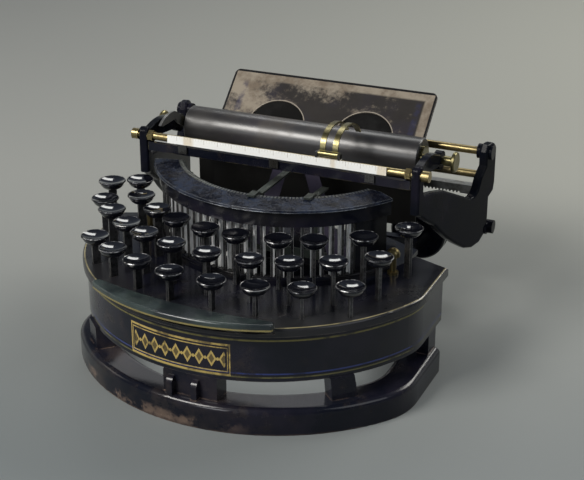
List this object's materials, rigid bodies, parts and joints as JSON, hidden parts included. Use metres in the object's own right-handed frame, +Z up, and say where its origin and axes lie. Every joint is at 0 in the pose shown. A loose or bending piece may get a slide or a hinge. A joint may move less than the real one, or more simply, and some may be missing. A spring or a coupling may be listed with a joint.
{
  "type": "curved keyboard typewriter",
  "caption": "Vintage front-strike typewriter with a curved three-row keyboard, a fence of hanging typebars, a sliding carriage with rubber platen, and a cast ring base.",
  "frame": {"origin": "centre of the bounding box in plan, on the resting plane", "axes": "+X to the typist's right, +Y away from the typist, +Z up"},
  "size_m": [0.3086, 0.322, 0.1937],
  "materials": {
    "base_enamel": "worn black enamel on cast iron",
    "deck_enamel": "worn black enamel with gold lines",
    "basket_enamel": "black enamel",
    "crescent_enamel": "worn blue-black enamel",
    "plate_enamel": "worn black enamel",
    "frame_enamel": "black enamel",
    "beam_enamel": "black enamel",
    "table_enamel": "aged cream and brown paint",
    "space_bar_enamel": "dark green-black enamel with a gold edge",
    "scale_metal": "cream with brown graduations",
    "roller_rubber": "hard grey rubber",
    "knob_brass": "tarnished",
    "fitting_brass": "tarnished",
    "rod_brass": "tarnished",
    "bright_steel": "dull",
    "typebar_steel": "dull",
    "drum_enamel": "black enamel",
    "bell_nickel": "dull nickel",
    "spool_tinplate": "black tinplate",
    "ribbon_cloth": "inked cloth",
    "guide_steel": "grey-green",
    "key_top": "black key tops in steel rims on steel plungers"
  },
  "bodies": {
    "frame": {"base_ring": "base_enamel", "deck_casting": "deck_enamel", "basket_frame": "basket_enamel", "crescent_cover": "crescent_enamel", "fulcrum_wire": "typebar_steel", "resting_typebars": "typebar_steel", "rear_column": "frame_enamel", "bell": "bell_nickel", "ribbon": "ribbon_cloth", "ribbon_guide": "guide_steel", "thumb_nuts": "fitting_brass"},
    "carriage": {"end_plate_left": "plate_enamel", "end_plate_right": "plate_enamel", "front_rod": "rod_brass", "rear_rods": "rod_brass", "steel_rail": "bright_steel", "scale_bar": "scale_metal", "carriage_beam": "beam_enamel", "paper_table": "table_enamel"},
    "platen": {"platen": "roller_rubber", "platen_knobs": "knob_brass"},
    "feed_roller": {"feed_roller": "roller_rubber"},
    "paper_finger": {"paper_finger": "fitting_brass"},
    "line_space_lever": {"line_space_lever": "bright_steel"},
    "escapement": {"escapement_wheel": "bright_steel"},
    "mainspring_drum": {"mainspring_drum": "drum_enamel"},
    "spool_left": {"ribbon_spool_left": "spool_tinplate"},
    "spool_right": {"ribbon_spool_right": "spool_tinplate"},
    "space_bar": {"space_bar": "space_bar_enamel"},
    "typebar_left": {"typebar_left": "typebar_steel"},
    "typebar_right": {"typebar_right": "typebar_steel"},
    "key_front_1": {"key_front_1": "key_top"},
    "key_front_2": {"key_front_2": "key_top"},
    "key_front_3": {"key_front_3": "key_top"},
    "key_front_4": {"key_front_4": "key_top"},
    "key_front_5": {"key_front_5": "key_top"},
    "key_front_6": {"key_front_6": "key_top"},
    "key_front_7": {"key_front_7": "key_top"},
    "key_front_8": {"key_front_8": "key_top"},
    "key_middle_1": {"key_middle_1": "key_top"},
    "key_middle_2": {"key_middle_2": "key_top"},
    "key_middle_3": {"key_middle_3": "key_top"},
    "key_middle_4": {"key_middle_4": "key_top"},
    "key_middle_5": {"key_middle_5": "key_top"},
    "key_middle_6": {"key_middle_6": "key_top"},
    "key_middle_7": {"key_middle_7": "key_top"},
    "key_middle_8": {"key_middle_8": "key_top"},
    "key_middle_9": {"key_middle_9": "key_top"},
    "key_middle_10": {"key_middle_10": "key_top"},
    "key_rear_1": {"key_rear_1": "key_top"},
    "key_rear_2": {"key_rear_2": "key_top"},
    "key_rear_3": {"key_rear_3": "key_top"},
    "key_rear_4": {"key_rear_4": "key_top"},
    "key_rear_5": {"key_rear_5": "key_top"},
    "key_rear_6": {"key_rear_6": "key_top"},
    "key_rear_7": {"key_rear_7": "key_top"},
    "key_rear_8": {"key_rear_8": "key_top"},
    "key_rear_9": {"key_rear_9": "key_top"},
    "key_right_shift": {"key_right_shift": "key_top"},
    "key_left_shift": {"key_left_shift": "key_top"}
  },
  "joints": [
    {"name": "carriage_slide", "type": "slide", "parent": "frame", "child": "carriage", "axis": [1, 0, 0], "range_m": [-0.075, 0.075]},
    {"name": "platen_turn", "type": "hinge", "parent": "carriage", "child": "platen", "pos_m": [0, 0.0647, 0.1606], "axis": [1, 0, 0], "continuous": true},
    {"name": "feed_roller_turn", "type": "hinge", "parent": "carriage", "child": "feed_roller", "pos_m": [0, 0.07615, 0.14077], "axis": [1, 0, 0], "continuous": true},
    {"name": "paper_finger_lift", "type": "hinge", "parent": "carriage", "child": "paper_finger", "pos_m": [0.045, 0.0045, 0.1749], "axis": [1, 0, 0], "range_deg": [0, 60]},
    {"name": "line_space_pull", "type": "hinge", "parent": "carriage", "child": "line_space_lever", "pos_m": [-0.1114, 0.0647, 0.1606], "axis": [1, 0, 0], "range_deg": [0, 16], "stiffness_Nm_per_rad": 0.02, "springref_deg": -17.19},
    {"name": "escapement_turn", "type": "hinge", "parent": "frame", "child": "escapement", "pos_m": [0.041, 0.121, 0.1056], "axis": [0, 1, 0], "range_deg": [-540, 540]},
    {"name": "mainspring_turn", "type": "hinge", "parent": "frame", "child": "mainspring_drum", "pos_m": [0.0795, 0.15, 0.057], "axis": [0, 1, 0], "range_deg": [-200, 200]},
    {"name": "spool_left_turn", "type": "hinge", "parent": "frame", "child": "spool_left", "pos_m": [-0.068, 0.06, 0.069], "axis": [0, 0, 1], "continuous": true},
    {"name": "spool_right_turn", "type": "hinge", "parent": "frame", "child": "spool_right", "pos_m": [0.068, 0.06, 0.069], "axis": [0, 0, 1], "continuous": true},
    {"name": "space_bar_press", "type": "slide", "parent": "frame", "child": "space_bar", "axis": [0, 0, -1], "range_m": [0, 0.005], "stiffness_N_per_m": 150, "springref_m": -0.004},
    {"name": "key_front_1_press", "type": "slide", "parent": "frame", "child": "key_front_1", "axis": [0, 0, -1], "range_m": [0, 0.008], "stiffness_N_per_m": 80, "springref_m": -0.004},
    {"name": "key_front_2_press", "type": "slide", "parent": "frame", "child": "key_front_2", "axis": [0, 0, -1], "range_m": [0, 0.008], "stiffness_N_per_m": 80, "springref_m": -0.004},
    {"name": "key_front_3_press", "type": "slide", "parent": "frame", "child": "key_front_3", "axis": [0, 0, -1], "range_m": [0, 0.008], "stiffness_N_per_m": 80, "springref_m": -0.004},
    {"name": "key_front_4_press", "type": "slide", "parent": "frame", "child": "key_front_4", "axis": [0, 0, -1], "range_m": [0, 0.008], "stiffness_N_per_m": 80, "springref_m": -0.004},
    {"name": "key_front_5_press", "type": "slide", "parent": "frame", "child": "key_front_5", "axis": [0, 0, -1], "range_m": [0, 0.008], "stiffness_N_per_m": 80, "springref_m": -0.004},
    {"name": "key_front_6_press", "type": "slide", "parent": "frame", "child": "key_front_6", "axis": [0, 0, -1], "range_m": [0, 0.008], "stiffness_N_per_m": 80, "springref_m": -0.004},
    {"name": "key_front_7_press", "type": "slide", "parent": "frame", "child": "key_front_7", "axis": [0, 0, -1], "range_m": [0, 0.008], "stiffness_N_per_m": 80, "springref_m": -0.004},
    {"name": "key_front_8_press", "type": "slide", "parent": "frame", "child": "key_front_8", "axis": [0, 0, -1], "range_m": [0, 0.008], "stiffness_N_per_m": 80, "springref_m": -0.004},
    {"name": "key_middle_1_press", "type": "slide", "parent": "frame", "child": "key_middle_1", "axis": [0, 0, -1], "range_m": [0, 0.008], "stiffness_N_per_m": 80, "springref_m": -0.004},
    {"name": "key_middle_2_press", "type": "slide", "parent": "frame", "child": "key_middle_2", "axis": [0, 0, -1], "range_m": [0, 0.008], "stiffness_N_per_m": 80, "springref_m": -0.004},
    {"name": "key_middle_3_press", "type": "slide", "parent": "frame", "child": "key_middle_3", "axis": [0, 0, -1], "range_m": [0, 0.008], "stiffness_N_per_m": 80, "springref_m": -0.004},
    {"name": "key_middle_4_press", "type": "slide", "parent": "frame", "child": "key_middle_4", "axis": [0, 0, -1], "range_m": [0, 0.008], "stiffness_N_per_m": 80, "springref_m": -0.004},
    {"name": "key_middle_5_press", "type": "slide", "parent": "frame", "child": "key_middle_5", "axis": [0, 0, -1], "range_m": [0, 0.008], "stiffness_N_per_m": 80, "springref_m": -0.004},
    {"name": "key_middle_6_press", "type": "slide", "parent": "frame", "child": "key_middle_6", "axis": [0, 0, -1], "range_m": [0, 0.008], "stiffness_N_per_m": 80, "springref_m": -0.004},
    {"name": "key_middle_7_press", "type": "slide", "parent": "frame", "child": "key_middle_7", "axis": [0, 0, -1], "range_m": [0, 0.008], "stiffness_N_per_m": 80, "springref_m": -0.004},
    {"name": "key_middle_8_press", "type": "slide", "parent": "frame", "child": "key_middle_8", "axis": [0, 0, 1], "range_m": [-0.008, 0], "stiffness_N_per_m": 80, "springref_m": 0.004},
    {"name": "key_middle_9_press", "type": "slide", "parent": "frame", "child": "key_middle_9", "axis": [0, 0, -1], "range_m": [0, 0.008], "stiffness_N_per_m": 80, "springref_m": -0.004},
    {"name": "key_middle_10_press", "type": "slide", "parent": "frame", "child": "key_middle_10", "axis": [0, 0, -1], "range_m": [0, 0.008], "stiffness_N_per_m": 80, "springref_m": -0.004},
    {"name": "key_rear_1_press", "type": "slide", "parent": "frame", "child": "key_rear_1", "axis": [0, 0, -1], "range_m": [0, 0.008], "stiffness_N_per_m": 80, "springref_m": -0.004},
    {"name": "key_rear_2_press", "type": "slide", "parent": "frame", "child": "key_rear_2", "axis": [0, 0, -1], "range_m": [0, 0.008], "stiffness_N_per_m": 80, "springref_m": -0.004},
    {"name": "key_rear_3_press", "type": "slide", "parent": "frame", "child": "key_rear_3", "axis": [0, 0, -1], "range_m": [0, 0.008], "stiffness_N_per_m": 80, "springref_m": -0.004},
    {"name": "key_rear_4_press", "type": "slide", "parent": "frame", "child": "key_rear_4", "axis": [0, 0, -1], "range_m": [0, 0.008], "stiffness_N_per_m": 80, "springref_m": -0.004},
    {"name": "key_rear_5_press", "type": "slide", "parent": "frame", "child": "key_rear_5", "axis": [0, 0, -1], "range_m": [0, 0.008], "stiffness_N_per_m": 80, "springref_m": -0.004},
    {"name": "key_rear_6_press", "type": "slide", "parent": "frame", "child": "key_rear_6", "axis": [0, 0, -1], "range_m": [0, 0.008], "stiffness_N_per_m": 80, "springref_m": -0.004},
    {"name": "key_rear_7_press", "type": "slide", "parent": "frame", "child": "key_rear_7", "axis": [0, 0, -1], "range_m": [0, 0.008], "stiffness_N_per_m": 80, "springref_m": -0.004},
    {"name": "key_rear_8_press", "type": "slide", "parent": "frame", "child": "key_rear_8", "axis": [0, 0, -1], "range_m": [0, 0.008], "stiffness_N_per_m": 80, "springref_m": -0.004},
    {"name": "key_rear_9_press", "type": "slide", "parent": "frame", "child": "key_rear_9", "axis": [0, 0, -1], "range_m": [0, 0.008], "stiffness_N_per_m": 80, "springref_m": -0.004},
    {"name": "key_right_shift_press", "type": "slide", "parent": "frame", "child": "key_right_shift", "axis": [0, 0, -1], "range_m": [0, 0.008], "stiffness_N_per_m": 80, "springref_m": -0.004},
    {"name": "key_left_shift_press", "type": "slide", "parent": "frame", "child": "key_left_shift", "axis": [0, 0, -1], "range_m": [0, 0.008], "stiffness_N_per_m": 80, "springref_m": -0.004},
    {"name": "typebar_left_swing", "type": "hinge", "parent": "frame", "child": "typebar_left", "pos_m": [-0.03534, -0.05131, 0.1395], "axis": [0.9442, -0.3294, 0], "range_deg": [0, 100]},
    {"name": "typebar_right_swing", "type": "hinge", "parent": "frame", "child": "typebar_right", "pos_m": [0.03939, -0.04981, 0.1395], "axis": [-0.9302, -0.3671, 0], "range_deg": [-100, 0]}
  ],
  "couplings": [
    {"joint": "typebar_left_swing", "follows": "key_front_3_press", "rad_per_m": 217.29},
    {"joint": "typebar_right_swing", "follows": "key_middle_8_press", "rad_per_m": 217.29},
    {"joint": "feed_roller_turn", "follows": "platen_turn", "ratio": -2.7667},
    {"joint": "escapement_turn", "follows": "carriage_slide", "rad_per_m": 122.72},
    {"joint": "mainspring_turn", "follows": "carriage_slide", "rad_per_m": 41.667},
    {"joint": "spool_right_turn", "follows": "spool_left_turn", "ratio": 1}
  ]
}
